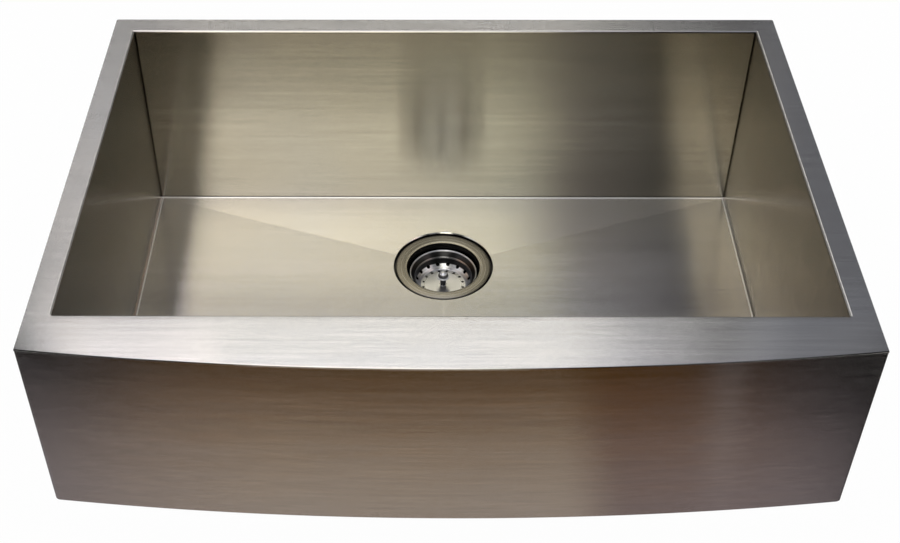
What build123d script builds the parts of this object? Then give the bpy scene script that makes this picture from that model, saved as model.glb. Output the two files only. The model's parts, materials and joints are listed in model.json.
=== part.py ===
"""A farmhouse apron front sink: a single steel bowl with a flat rim, a bowed apron and a basket strainer.

Millimetres, +Z up, +X to the right and +Y to the back, seen from the front. The origin is the middle
of the back rim's top face. The sink hangs by its rim, so everything else lies below z = 0.
"""

from build123d import *
import math
import os

# ---------------------------------------------------------------- sheet metal
overall_width = 762.0
overall_depth = 558.8        # back edge of the rim to the crest of the bowed front
bow = 21.8                   # how far the crest stands in front of the front corners
sheet = 1.5
side_rim = 24.0
back_rim = 25.4
deck_depth = 66.4            # inside of the bowl to the crest of the bowed front
bowl_depth = 246.0           # rim's top face to the floor's edge
floor_fall = 3.0             # the floor's edge to the point its four facets aim at
rim_bend = 1.0               # inside radius where a wall turns out into its rim
floor_bend = 1.5             # inside radius where the floor turns up into the walls
pan_edge = 4.0               # height of the floor pan's turned-up edge
corner_ease = 2.0            # rounding of the rim's back corners
deck_lip = 12.0              # how far the front deck turns down into the bowl
deck_nose = 1.2              # rounding of the deck's front edge
apron_height = 208.0
apron_side_ease = 1.2        # rounding of the apron's upright end edges
apron_corner = 4.0           # rounding of the apron's two bottom corners
bottom_return_width = 20.0
brace_spacing = 400.0
brace_flange = 16.0
brace_height = 160.0
brace_drop = 24.0            # rim's top face to the top of the braces

# ---------------------------------------------------------------- sound pads
pad_thickness = 3.0
pad_corner = 8.0
floor_pad_side_margin = 24.0
floor_pad_end_margin = 33.5
floor_front_pad_width = 120.0
floor_front_pad_margin = 30.0
floor_pad_spacing = 23.0     # between the front floor pad and the two side ones
drain_to_pad = 55.0          # sink gasket to the front floor pad
back_pad_margin = 97.0       # bowl's corners to the ends of the back pad
side_pad_margin = 83.5
brace_to_pad = 34.0          # brace flanges to the ends of the front pad
wall_pad_drop = 60.0         # rim's top face to the top edge of the wall pads
wall_pad_height = 140.0

# ---------------------------------------------------------------- drain
drain_to_back_wall = 126.0
recess_radius = 59.3
recess_depth = 3.2           # below the point the floor's facets aim at
drain_hole_radius = 45.0
flange_seal_thickness = 1.4
seal_inside = 47.5
seal_margin = 1.5            # flange's edge to the seal's edge
flange_radius = 57.15
flange_thickness = 1.2
flange_dish = 0.9            # fall of the flange's top from its edge to its lip
flange_edge = 0.5            # bevel round the flange's outer edge
lip_radius = 3.4
body_wall = 1.2
body_radius = 44.0           # outside of the strainer body's cup
cup_straight_depth = 32.0    # flange's top to the end of the cup's straight wall
cup_depth = 37.0             # flange's top to the seat in the cup's bottom
cup_seat_radius = 30.0
spud_radius = 23.7
spud_wall = 3.0
spud_length = 24.0
crossbar_drop = 5.0          # cup's seat to the top of the crossbar
crossbar_thickness = 2.0
crossbar_width = 4.0
crossbar_hub_radius = 7.5
crossbar_arms = 4
gasket_thickness = 3.0
gasket_radius = 56.0
friction_washer_thickness = 1.0
friction_washer_radius = 53.0
thread_clearance = 0.1
ring_clearance = 0.3
locknut_height = 12.0
locknut_radius = 50.0
locknut_lug = 4.0
locknut_lug_width = 14.0
locknut_lugs = 8

# ---------------------------------------------------------------- basket
basket_sheet = 0.8
basket_rim_radius = 39.3     # centre of the rolled edge
basket_rim_bead = 0.9
basket_rim_drop = 9.5        # flange's top to the centre of the rolled edge
basket_step_radius = 33.4
basket_step_drop = 16.5
basket_wall_radius = 32.9
basket_wall_drop = 24.2
basket_ledge_radius = 28.9
basket_ledge_drop = 27.6
basket_floor_radius = 28.0
basket_floor_drop = 29.3
small_hole_radius = 1.35
small_hole_ring = 25.4
big_hole_radius = 2.3
big_hole_ring = 32.1
big_hole_drop = 24.7         # flange's top to the holes' centres
basket_holes = 16
knob_radius = 7.9
knob_rim_thickness = 1.4
knob_rim_drop = 15.2         # flange's top to the top of the knob's rim
knob_dome_radius = 6.4
knob_dome_height = 5.0
knob_dome_shoulder = (4.9, 3.25)  # a point on the dome: radius, height over its rim
knob_rim_round = 0.55
knob_neck_height = 1.6
knob_socket = 3.0            # how far the post goes up into the knob
post_radius = 3.5
stub_radius = 2.9
stub_below_crossbar = 8.0
stub_chamfer = 0.7
stopper_gap = 0.3            # rubber to its seat, closed
stopper_hub_radius = 15.0
stopper_lip_radius = 26.5
stopper_lip_thickness = 2.4
stopper_washer_radius = 12.0
stopper_washer_thickness = 0.8
post_nut_radius = 5.0
post_nut_height = 2.6
clip_wall = 0.8
clip_length = 9.0
clip_slot = 1.2
clip_clearance = 0.05        # post to the inside of its spring clip
hub_clearance = 0.3          # spring clip to the crossbar's hub

pick_tolerance = 0.01        # how near an edge lies to the place it is picked by

# ---------------------------------------------------------------- worked out from the sizes above
half_width = overall_width / 2
opening_width = overall_width - 2 * side_rim
opening_depth = overall_depth - back_rim - deck_depth
half_opening = opening_width / 2
half_outside = half_opening + sheet
rim_bend_outside = rim_bend + sheet

back_edge_y = back_rim / 2
bowl_back_y = -back_rim / 2
bowl_front_y = bowl_back_y - opening_depth
bowl_middle_y = (bowl_back_y + bowl_front_y) / 2
crest_y = back_edge_y - overall_depth
corner_y = crest_y + bow
return_back_y = bowl_front_y
front_wall_face_y = bowl_front_y - sheet

bow_radius = (half_width**2 + bow**2) / (2 * bow)
bow_centre_y = crest_y + bow_radius

pan_top_z = -bowl_depth + pan_edge
apron_bottom_z = -apron_height

drain_y = bowl_back_y - drain_to_back_wall
drain_axis = Axis((0, drain_y, 0), (0, 0, 1))
drain_section = Plane(origin=(0, drain_y, 0), x_dir=(1, 0, 0), z_dir=(0, -1, 0))
facet_point_z = -bowl_depth - floor_fall
seat_z = facet_point_z - recess_depth
seat_under_z = seat_z - sheet
flange_under_z = seat_z + flange_seal_thickness
flange_top_z = flange_under_z + flange_thickness
cup_seat_z = flange_top_z - cup_depth
spud_end_z = cup_seat_z - spud_length
crossbar_top_z = cup_seat_z - crossbar_drop
crossbar_under_z = crossbar_top_z - crossbar_thickness
locknut_top_z = seat_under_z - gasket_thickness - friction_washer_thickness
basket_floor_z = flange_top_z - basket_floor_drop
basket_under_z = basket_floor_z - basket_sheet
stub_top_z = basket_under_z
stub_end_z = crossbar_under_z - stub_below_crossbar
spud_bore = spud_radius - spud_wall
crossbar_bore = stub_radius + clip_wall + hub_clearance


def drain_plane(z):
    """The horizontal plane at height z, centred on the drain."""
    return Plane(origin=(0, drain_y, z), x_dir=(1, 0, 0), z_dir=(0, 0, 1))


def bow_y(x, inset):
    """Y of the bowed front, inset by a distance from the apron's outer face."""
    return bow_centre_y - math.sqrt((bow_radius - inset) ** 2 - x**2)


def bow_arc(half, inset):
    """The bowed front's arc from left to right, inset from the apron's outer face."""
    return ThreePointArc(
        (-half, bow_y(half, inset)), (0, bow_y(0, inset)), (half, bow_y(half, inset))
    )


def export(piece, name):
    """Write one finished piece under its node's name."""
    piece.part.label = name
    export_step(piece.part, f"parts/{name}.step")


os.makedirs("parts", exist_ok=True)


# ================================================================ bowl floor
facet_half = half_opening - floor_bend
facet_back_y = bowl_back_y - floor_bend
facet_front_y = bowl_front_y + floor_bend


def facet_planes(drop):
    """The floor's four sloping planes, lowered by drop: each holds one floor edge and the drain's point."""
    edge_z = -bowl_depth - drop
    point = Vector(0, drain_y, facet_point_z - drop)
    corners = [
        Vector(facet_half, facet_back_y, edge_z),
        Vector(-facet_half, facet_back_y, edge_z),
        Vector(-facet_half, facet_front_y, edge_z),
        Vector(facet_half, facet_front_y, edge_z),
    ]
    planes = []
    for i, start in enumerate(corners):
        along = corners[(i + 1) % 4] - start
        normal = along.cross(point - start)
        planes.append(Plane(origin=start, x_dir=along, z_dir=normal))
    return planes


def floor_facets(drop):
    """The shallow upside-down pyramid between the floor's edges and its lowest point."""
    with BuildPart() as pyramid:
        with BuildSketch(Plane.XY.offset(-bowl_depth - drop)):
            with Locations((0, (facet_back_y + facet_front_y) / 2)):
                Rectangle(2 * facet_half, facet_back_y - facet_front_y)
        extrude(amount=-2 * floor_fall)
        for plane in facet_planes(drop):
            split(bisect_by=plane, keep=Keep.TOP)
    return pyramid


def bowl_fill(margin, edge_radius):
    """What fills the bowl's bottom, grown by margin all round: a block on top of the four facets."""
    with BuildPart() as fill:
        with BuildSketch(Plane.XY.offset(-bowl_depth - margin)):
            with Locations((0, bowl_middle_y)):
                Rectangle(opening_width + 2 * margin, opening_depth + 2 * margin)
        extrude(amount=pan_edge + margin)
        fillet(fill.faces().sort_by(Axis.Z)[0].edges(), edge_radius)
        add(floor_facets(margin).part)
    return fill


pan_inside = bowl_fill(0, floor_bend)
pan_outside = bowl_fill(sheet, floor_bend + sheet)
pan_padded = bowl_fill(sheet + pad_thickness, floor_bend + sheet + pad_thickness)

with BuildPart() as bowl_floor:
    add(pan_outside.part)
    add(pan_inside.part, mode=Mode.SUBTRACT)
    with BuildSketch(drain_plane(seat_under_z)):
        Circle(recess_radius + sheet)
    extrude(amount=facet_point_z - seat_under_z)
    with BuildSketch(drain_section):
        with BuildLine():
            Polyline(
                (0, seat_z), (recess_radius, seat_z), (recess_radius, facet_point_z),
                (recess_radius + pan_edge, facet_point_z + pan_edge), (0, facet_point_z + pan_edge),
                close=True,
            )
        make_face()
    revolve(axis=drain_axis, mode=Mode.SUBTRACT)
    with BuildSketch(drain_plane(seat_under_z)):
        Circle(drain_hole_radius)
    extrude(amount=2 * sheet, mode=Mode.SUBTRACT)
export(bowl_floor, "bowl_floor")


# ================================================================ bowl walls with their rims
def bent_section(plane, wall_end_z, rim_width):
    """A sheet that runs up a wall on the plane's own Y axis and turns out along X into a flat rim."""
    with BuildSketch(plane) as section:
        with BuildLine():
            Polyline((sheet, wall_end_z), (0, wall_end_z), (0, -rim_bend_outside))
            RadiusArc((0, -rim_bend_outside), (rim_bend_outside, 0), rim_bend_outside)
            Polyline(
                (rim_bend_outside, 0), (rim_width, 0), (rim_width, -sheet),
                (rim_bend_outside, -sheet),
            )
            RadiusArc((rim_bend_outside, -sheet), (sheet, -rim_bend_outside), -rim_bend)
            Line((sheet, -rim_bend_outside), (sheet, wall_end_z))
        make_face()
    return section


def mitre(side):
    """The upright plane through one back corner of the bowl and of the rim, facing the side panel."""
    return Plane(
        origin=(side * half_opening, bowl_back_y, 0),
        x_dir=(side * side_rim, back_rim, 0),
        z_dir=(side * back_rim, -side_rim, 0),
    )


with BuildPart() as rim_outline:
    with BuildSketch(Plane.XY):
        with Locations((0, (back_edge_y + bowl_front_y) / 2)):
            rim_plan = Rectangle(overall_width, back_edge_y - bowl_front_y)
        fillet(rim_plan.vertices().group_by(Axis.Y)[-1], corner_ease)
    extrude(amount=-bowl_depth)

back_section = bent_section(
    Plane(origin=(-half_width, bowl_back_y, 0), x_dir=(0, 1, 0), z_dir=(1, 0, 0)),
    pan_top_z,
    back_rim,
)
with BuildPart() as bowl_back_panel:
    extrude(back_section.sketch, amount=overall_width, dir=(1, 0, 0))
    for side in (-1, 1):
        split(bisect_by=mitre(side), keep=Keep.BOTTOM)
    add(rim_outline.part, mode=Mode.INTERSECT)
export(bowl_back_panel, "bowl_back_panel")


def side_panel(side):
    """The left (-1) or right (+1) wall of the bowl with its rim, mitred to the back panel."""
    section = bent_section(
        Plane(
            origin=(side * half_opening, bowl_front_y, 0),
            x_dir=(side, 0, 0),
            z_dir=(0, -side, 0),
        ),
        pan_top_z,
        side_rim,
    )
    with BuildPart() as panel:
        extrude(section.sketch, amount=opening_depth + back_rim, dir=(0, 1, 0))
        split(bisect_by=mitre(side), keep=Keep.TOP)
        add(rim_outline.part, mode=Mode.INTERSECT)
    return panel


bowl_left_panel = side_panel(-1)
export(bowl_left_panel, "bowl_left_panel")
bowl_right_panel = side_panel(1)
export(bowl_right_panel, "bowl_right_panel")

with BuildPart() as bowl_front_panel:
    with BuildSketch(Plane.XY.offset(pan_top_z)):
        with Locations((0, bowl_front_y - sheet / 2)):
            Rectangle(2 * half_outside, sheet)
    extrude(amount=-pan_top_z - deck_lip)
export(bowl_front_panel, "bowl_front_panel")

# ================================================================ front deck
lip_reach = 2 * rim_bend_outside
lip_section = bent_section(
    Plane(origin=(-half_outside, bowl_front_y, 0), x_dir=(0, -1, 0), z_dir=(-1, 0, 0)),
    -deck_lip,
    lip_reach,
)
with BuildPart() as front_deck:
    with BuildSketch(Plane.XY.offset(-sheet)):
        with BuildLine():
            bow_arc(half_width, 0)
            Polyline(
                (half_width, corner_y), (half_width, bowl_front_y), (half_opening, bowl_front_y),
                (half_opening, bowl_front_y - lip_reach),
                (-half_opening, bowl_front_y - lip_reach), (-half_opening, bowl_front_y),
                (-half_width, bowl_front_y), (-half_width, corner_y),
            )
        make_face()
    extrude(amount=sheet)
    extrude(lip_section.sketch, amount=2 * half_outside, dir=(1, 0, 0))
    nose_edges = (
        front_deck.edges()
        .filter_by(GeomType.CIRCLE)
        .filter_by_position(Axis.Z, -pick_tolerance, pick_tolerance)
    )
    fillet(nose_edges, deck_nose)
export(front_deck, "front_deck")

# ================================================================ apron
with BuildPart() as apron_panel:
    with BuildSketch(Plane.XY.offset(apron_bottom_z)):
        with BuildLine():
            bow_arc(half_width, 0)
            Line((half_width, bow_y(half_width, 0)), (half_width, bow_y(half_width, sheet)))
            bow_arc(half_width, sheet)
            Line((-half_width, bow_y(half_width, sheet)), (-half_width, bow_y(half_width, 0)))
        make_face()
    extrude(amount=apron_height - sheet)
    bottom_corners = (
        apron_panel.edges()
        .filter_by(Axis.Y)
        .filter_by_position(
            Axis.Z, apron_bottom_z - pick_tolerance, apron_bottom_z + pick_tolerance
        )
    )
    fillet(bottom_corners, apron_corner)
    end_edges = (
        apron_panel.edges()
        .filter_by(Axis.Z)
        .filter_by_position(Axis.Y, corner_y - pick_tolerance, corner_y + pick_tolerance)
    )
    fillet(end_edges, apron_side_ease)
export(apron_panel, "apron_panel")

side_plate_top_z = -sheet
side_plate_bottom_z = apron_bottom_z + apron_corner
flange_plate_top_z = -sheet - rim_bend


def apron_return(side):
    """The apron's end plate with the flange at its back that is welded to the bowl's side wall."""
    outer_x, inner_x = side * half_width, side * (half_width - sheet)
    wall_x = side * half_outside
    with BuildPart() as plate:
        with BuildSketch(Plane.XY.offset(side_plate_bottom_z)):
            with BuildLine():
                Polyline(
                    (outer_x, bow_y(outer_x, sheet)), (outer_x, return_back_y),
                    (inner_x, return_back_y), (inner_x, bow_y(inner_x, sheet)), close=True,
                )
            make_face()
        extrude(amount=side_plate_top_z - side_plate_bottom_z)
        with BuildSketch(Plane.XY.offset(side_plate_bottom_z)):
            with BuildLine():
                Polyline(
                    (inner_x, return_back_y), (wall_x, return_back_y),
                    (wall_x, return_back_y - sheet), (inner_x, return_back_y - sheet), close=True,
                )
            make_face()
        extrude(amount=flange_plate_top_z - side_plate_bottom_z)
    return plate


apron_left_return = apron_return(-1)
export(apron_left_return, "apron_left_return")
apron_right_return = apron_return(1)
export(apron_right_return, "apron_right_return")


def apron_foot(inset, corner_radius):
    """A block over the apron's footprint behind its sheet, with its two bottom side edges rounded."""
    half = half_width - inset
    bottom_z = apron_bottom_z + inset
    with BuildPart() as block:
        with BuildSketch(Plane.XY.offset(bottom_z)):
            with BuildLine():
                bow_arc(half, sheet)
                Polyline(
                    (half, bow_y(half, sheet)), (half, return_back_y),
                    (-half, return_back_y), (-half, bow_y(half, sheet)),
                )
            make_face()
        extrude(amount=2 * apron_corner)
        side_edges = (
            block.edges()
            .filter_by(Axis.Y)
            .filter_by_position(Axis.Z, bottom_z - pick_tolerance, bottom_z + pick_tolerance)
        )
        fillet(side_edges, corner_radius)
    return block


foot_outside = apron_foot(0, apron_corner)
foot_inside = apron_foot(sheet, apron_corner - sheet)
window_inset = sheet + bottom_return_width
window_half = half_width - bottom_return_width
with BuildPart() as apron_bottom_return:
    add(foot_outside.part)
    add(foot_inside.part, mode=Mode.SUBTRACT)
    split(bisect_by=Plane.XY.offset(side_plate_bottom_z), keep=Keep.BOTTOM)
    with BuildSketch(Plane.XY.offset(apron_bottom_z - sheet)):
        with BuildLine():
            bow_arc(window_half, window_inset)
            Polyline(
                (window_half, bow_y(window_half, window_inset)),
                (window_half, return_back_y + sheet),
                (-window_half, return_back_y + sheet),
                (-window_half, bow_y(window_half, window_inset)),
            )
        make_face()
    extrude(amount=2 * apron_corner, mode=Mode.SUBTRACT)
export(apron_bottom_return, "apron_bottom_return")


def apron_brace(side):
    """A Z-shaped upright brace from the bowl's front wall to the back of the apron."""
    web_x = side * brace_spacing / 2
    web_edge_x = web_x + side * sheet
    wall_end_x = web_x - side * brace_flange
    apron_end_x = web_x + side * brace_flange
    top_z = -brace_drop
    with BuildPart() as brace:
        with BuildSketch(Plane.XY.offset(top_z)):
            with BuildLine():
                Polyline(
                    (wall_end_x, front_wall_face_y), (web_edge_x, front_wall_face_y),
                    (web_edge_x, bow_y(web_edge_x, 2 * sheet)),
                    (apron_end_x, bow_y(apron_end_x, 2 * sheet)),
                    (apron_end_x, bow_y(apron_end_x, sheet)),
                    (web_x, bow_y(web_x, sheet)),
                    (web_x, front_wall_face_y - sheet),
                    (wall_end_x, front_wall_face_y - sheet), close=True,
                )
            make_face()
        extrude(amount=-brace_height)
    return brace


apron_brace_left = apron_brace(-1)
export(apron_brace_left, "apron_brace_left")
apron_brace_right = apron_brace(1)
export(apron_brace_right, "apron_brace_right")

# ================================================================ sound pads
def floor_pad(centre, size):
    """A pad under the floor that follows its facets."""
    with BuildPart() as pad:
        with BuildSketch(Plane.XY.offset(seat_under_z - pad_thickness)):
            with Locations(centre):
                RectangleRounded(*size, pad_corner)
        extrude(amount=recess_depth + floor_fall + 2 * sheet + pad_thickness)
        add(pan_padded.part, mode=Mode.INTERSECT)
        add(pan_outside.part, mode=Mode.SUBTRACT)
    return pad


side_pad_inner_x = floor_front_pad_width / 2 + floor_pad_spacing
side_pad_width = half_opening - floor_pad_side_margin - side_pad_inner_x
side_pad_x = side_pad_inner_x + side_pad_width / 2
side_pad_size = (side_pad_width, opening_depth - 2 * floor_pad_end_margin)
front_pad_back_y = drain_y - gasket_radius - drain_to_pad
front_pad_front_y = bowl_front_y + floor_front_pad_margin
front_pad_y = (front_pad_back_y + front_pad_front_y) / 2

pad_floor_left = floor_pad((-side_pad_x, bowl_middle_y), side_pad_size)
export(pad_floor_left, "pad_floor_left")
pad_floor_right = floor_pad((side_pad_x, bowl_middle_y), side_pad_size)
export(pad_floor_right, "pad_floor_right")
pad_floor_front = floor_pad(
    (0, front_pad_y), (floor_front_pad_width, front_pad_back_y - front_pad_front_y)
)
export(pad_floor_front, "pad_floor_front")


def wall_pad(face, length):
    """A pad glued on one wall: face is the wall's outer face, its X along the wall and its Z outward."""
    with BuildPart() as pad:
        with BuildSketch(face):
            with Locations((0, -wall_pad_drop - wall_pad_height / 2)):
                RectangleRounded(length, wall_pad_height, pad_corner)
        extrude(amount=pad_thickness)
    return pad


back_pad_length = opening_width - 2 * back_pad_margin
side_pad_length = opening_depth - 2 * side_pad_margin
front_pad_length = brace_spacing - 2 * (brace_flange + brace_to_pad)

pad_back = wall_pad(
    Plane(origin=(0, bowl_back_y + sheet, 0), x_dir=(-1, 0, 0), z_dir=(0, 1, 0)), back_pad_length
)
export(pad_back, "pad_back")
pad_left = wall_pad(
    Plane(origin=(-half_outside, bowl_middle_y, 0), x_dir=(0, -1, 0), z_dir=(-1, 0, 0)),
    side_pad_length,
)
export(pad_left, "pad_left")
pad_right = wall_pad(
    Plane(origin=(half_outside, bowl_middle_y, 0), x_dir=(0, 1, 0), z_dir=(1, 0, 0)),
    side_pad_length,
)
export(pad_right, "pad_right")
pad_front = wall_pad(
    Plane(origin=(0, front_wall_face_y, 0), x_dir=(1, 0, 0), z_dir=(0, -1, 0)), front_pad_length
)
export(pad_front, "pad_front")

# ================================================================ strainer body
body_inside = body_radius - body_wall
lip_start = body_inside + lip_radius
lip_start_z = flange_top_z - flange_dish
lip_end_z = lip_start_z - lip_radius


def flange_underside(radius):
    """Height of the dished flange's underside at a radius."""
    return flange_under_z - flange_dish * (flange_radius - radius) / (flange_radius - lip_start)


with BuildPart() as strainer_body:
    with BuildSketch(drain_section):
        with BuildLine():
            Polyline(
                (flange_radius, flange_under_z),
                (flange_radius, flange_top_z - flange_edge),
                (flange_radius - flange_edge, flange_top_z),
                (lip_start, lip_start_z),
            )
            RadiusArc((lip_start, lip_start_z), (body_inside, lip_end_z), -lip_radius)
            Polyline(
                (body_inside, lip_end_z),
                (body_inside, flange_top_z - cup_straight_depth),
                (cup_seat_radius, cup_seat_z),
                (spud_bore, cup_seat_z),
                (spud_bore, spud_end_z),
                (spud_radius, spud_end_z),
                (spud_radius, cup_seat_z - body_wall),
                (cup_seat_radius, cup_seat_z - body_wall),
                (body_radius, flange_top_z - cup_straight_depth - body_wall / 2),
                (body_radius, lip_end_z),
            )
            RadiusArc(
                (body_radius, lip_end_z), (lip_start, lip_start_z - body_wall), lip_radius - body_wall
            )
            Line((lip_start, lip_start_z - body_wall), (flange_radius, flange_under_z))
        make_face()
    revolve(axis=drain_axis)
export(strainer_body, "strainer_body")

with BuildPart() as strainer_crossbar:
    with BuildSketch(drain_plane(crossbar_under_z)):
        Circle(crossbar_hub_radius)
        with PolarLocations(spud_bore / 2, crossbar_arms):
            Rectangle(spud_bore, crossbar_width)
        Circle(spud_bore, mode=Mode.INTERSECT)
        Circle(crossbar_bore, mode=Mode.SUBTRACT)
    extrude(amount=crossbar_thickness)
export(strainer_crossbar, "strainer_crossbar")


def ring(bottom_z, height, outside, inside):
    """A plain ring round the drain's axis."""
    with BuildPart() as band:
        with BuildSketch(drain_plane(bottom_z)):
            Circle(outside)
            Circle(inside, mode=Mode.SUBTRACT)
        extrude(amount=height)
    return band


seal_outside = flange_radius - seal_margin
with BuildPart() as flange_seal:
    with BuildSketch(drain_section):
        with BuildLine():
            Polyline(
                (seal_inside, seat_z), (seal_outside, seat_z),
                (seal_outside, flange_underside(seal_outside)),
                (seal_inside, flange_underside(seal_inside)), close=True,
            )
        make_face()
    revolve(axis=drain_axis)
export(flange_seal, "flange_seal")
sink_gasket = ring(
    seat_under_z - gasket_thickness, gasket_thickness, gasket_radius, body_radius + ring_clearance
)
export(sink_gasket, "sink_gasket")
friction_washer = ring(
    locknut_top_z, friction_washer_thickness, friction_washer_radius, body_radius + ring_clearance
)
export(friction_washer, "friction_washer")

with BuildPart() as locknut:
    with BuildSketch(drain_plane(locknut_top_z - locknut_height)):
        Circle(locknut_radius)
        with PolarLocations(locknut_radius, locknut_lugs):
            Rectangle(2 * locknut_lug, locknut_lug_width)
        Circle(body_radius + thread_clearance, mode=Mode.SUBTRACT)
    extrude(amount=locknut_height)
export(locknut, "locknut")

# ================================================================ strainer basket
basket_inner_line = [
    (0, basket_floor_z),
    (basket_floor_radius, basket_floor_z),
    (basket_ledge_radius, flange_top_z - basket_ledge_drop),
    (basket_wall_radius, flange_top_z - basket_wall_drop),
    (basket_step_radius, flange_top_z - basket_step_drop),
    (basket_rim_radius, flange_top_z - basket_rim_drop),
]
basket_outer_line = [
    (basket_rim_radius + basket_sheet, flange_top_z - basket_rim_drop),
    (basket_step_radius + basket_sheet, flange_top_z - basket_step_drop - basket_sheet / 2),
    (basket_wall_radius + basket_sheet, flange_top_z - basket_wall_drop - basket_sheet / 2),
    (basket_ledge_radius + basket_sheet / 2, flange_top_z - basket_ledge_drop - basket_sheet),
    (basket_floor_radius + basket_sheet / 2, basket_under_z),
    (0, basket_under_z),
]
hole_step = 360 / basket_holes
with BuildPart() as basket_cup:
    with BuildSketch(drain_section):
        with BuildLine():
            Polyline(*basket_inner_line, *basket_outer_line, close=True)
        make_face()
        with Locations((basket_rim_radius + basket_sheet / 2, flange_top_z - basket_rim_drop)):
            Circle(basket_rim_bead)
    revolve(axis=drain_axis)
    with BuildSketch(drain_plane(basket_under_z)):
        Circle(post_radius)
    extrude(amount=basket_sheet, mode=Mode.SUBTRACT)
    with BuildSketch(drain_plane(basket_under_z)):
        with PolarLocations(small_hole_ring, basket_holes, start_angle=hole_step / 2):
            Circle(small_hole_radius)
    extrude(amount=basket_sheet, mode=Mode.SUBTRACT)
    for i in range(basket_holes):
        turn = math.radians((i + 0.5) * hole_step)
        outward = Vector(math.cos(turn), math.sin(turn), -1).normalized()
        centre = Vector(
            big_hole_ring * math.cos(turn),
            drain_y + big_hole_ring * math.sin(turn),
            flange_top_z - big_hole_drop,
        )
        with BuildSketch(Plane(origin=centre, z_dir=outward)):
            Circle(big_hole_radius)
        extrude(amount=4 * basket_sheet, both=True, mode=Mode.SUBTRACT)
export(basket_cup, "basket_cup")

knob_rim_top_z = flange_top_z - knob_rim_drop
knob_rim_under_z = knob_rim_top_z - knob_rim_thickness
knob_neck_end_z = knob_rim_under_z - knob_neck_height
post_top_z = knob_neck_end_z + knob_socket
with BuildPart() as basket_post:
    with BuildSketch(drain_section):
        with BuildLine():
            Polyline(
                (0, post_top_z), (post_radius, post_top_z), (post_radius, stub_top_z),
                (stub_radius, stub_top_z), (stub_radius, stub_end_z), (0, stub_end_z), close=True,
            )
        make_face()
    revolve(axis=drain_axis)
    chamfer(
        basket_post.edges().group_by(Axis.Z)[0],
        stub_chamfer,
    )
export(basket_post, "basket_post")

neck_radius = (post_radius + knob_dome_radius) / 2
with BuildPart() as basket_knob:
    with BuildSketch(drain_section):
        with BuildLine():
            ThreePointArc(
                (0, knob_rim_top_z + knob_dome_height),
                (knob_dome_shoulder[0], knob_rim_top_z + knob_dome_shoulder[1]),
                (knob_dome_radius, knob_rim_top_z),
            )
            Polyline(
                (knob_dome_radius, knob_rim_top_z), (knob_radius, knob_rim_top_z),
                (knob_radius, knob_rim_under_z), (neck_radius, knob_neck_end_z),
                (post_radius, knob_neck_end_z), (post_radius, post_top_z), (0, post_top_z),
                (0, knob_rim_top_z + knob_dome_height),
            )
        make_face()
    revolve(axis=drain_axis)
    fillet(
        basket_knob.edges()
        .filter_by(GeomType.CIRCLE)
        .filter_by(lambda e: abs(e.radius - knob_radius) < pick_tolerance),
        knob_rim_round,
    )
export(basket_knob, "basket_knob")

stopper_top_z = basket_under_z
stopper_bottom_z = cup_seat_z + stopper_gap
stopper_lip_top_z = stopper_bottom_z + stopper_lip_thickness
with BuildPart() as basket_stopper:
    with BuildSketch(drain_section):
        with BuildLine():
            Polyline(
                (stub_radius, stopper_top_z), (stopper_hub_radius, stopper_top_z),
                (stopper_lip_radius, stopper_lip_top_z),
                (stopper_lip_radius, stopper_bottom_z + stopper_lip_thickness / 2),
                (stopper_lip_radius - stopper_lip_thickness, stopper_bottom_z),
                (stub_radius, stopper_bottom_z), close=True,
            )
        make_face()
    revolve(axis=drain_axis)
export(basket_stopper, "basket_stopper")

washer_under_z = stopper_bottom_z - stopper_washer_thickness
stopper_washer = ring(washer_under_z, stopper_washer_thickness, stopper_washer_radius, stub_radius)
export(stopper_washer, "stopper_washer")

nut_under_z = washer_under_z - post_nut_height
with BuildPart() as post_nut:
    with BuildSketch(drain_plane(nut_under_z)):
        RegularPolygon(post_nut_radius, 6)
        Circle(stub_radius, mode=Mode.SUBTRACT)
    extrude(amount=post_nut_height)
export(post_nut, "post_nut")

with BuildPart() as post_clip:
    with BuildSketch(drain_plane(nut_under_z - clip_length)):
        Circle(stub_radius + clip_wall)
        Circle(stub_radius + clip_clearance, mode=Mode.SUBTRACT)
        with Locations((stub_radius + clip_wall, 0)):
            Rectangle(2 * (stub_radius + clip_wall), clip_slot, mode=Mode.SUBTRACT)
    extrude(amount=clip_length)
export(post_clip, "post_clip")
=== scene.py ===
import bpy, bmesh, math, json
from mathutils import Vector, Matrix


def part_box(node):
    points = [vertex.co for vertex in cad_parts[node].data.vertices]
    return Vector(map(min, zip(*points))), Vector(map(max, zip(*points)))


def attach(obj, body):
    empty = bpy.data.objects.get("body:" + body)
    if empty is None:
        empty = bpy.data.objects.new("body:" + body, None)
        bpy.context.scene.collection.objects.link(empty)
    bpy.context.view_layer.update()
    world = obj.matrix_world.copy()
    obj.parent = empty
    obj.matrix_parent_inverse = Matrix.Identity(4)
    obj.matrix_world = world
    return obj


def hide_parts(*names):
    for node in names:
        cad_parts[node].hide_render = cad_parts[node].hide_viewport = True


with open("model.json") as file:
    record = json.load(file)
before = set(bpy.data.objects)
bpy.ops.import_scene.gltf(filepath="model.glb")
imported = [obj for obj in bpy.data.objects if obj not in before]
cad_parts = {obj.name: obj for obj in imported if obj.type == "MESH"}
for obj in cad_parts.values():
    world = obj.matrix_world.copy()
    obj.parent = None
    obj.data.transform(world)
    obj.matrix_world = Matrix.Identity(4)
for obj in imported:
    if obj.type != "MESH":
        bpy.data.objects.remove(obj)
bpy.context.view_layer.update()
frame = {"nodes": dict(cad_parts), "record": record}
nodes = frame["nodes"]
scene = bpy.context.scene
mm = 0.001
subparts = {part["node"]: part for part in frame["record"]["subparts"]}
bodies = frame["record"]["behaviour"]["bodies"]
bodyOf = {node: body for body, names in bodies.items() for node in names}
print("stage: frame loaded,", len(nodes), "pieces")

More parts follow.
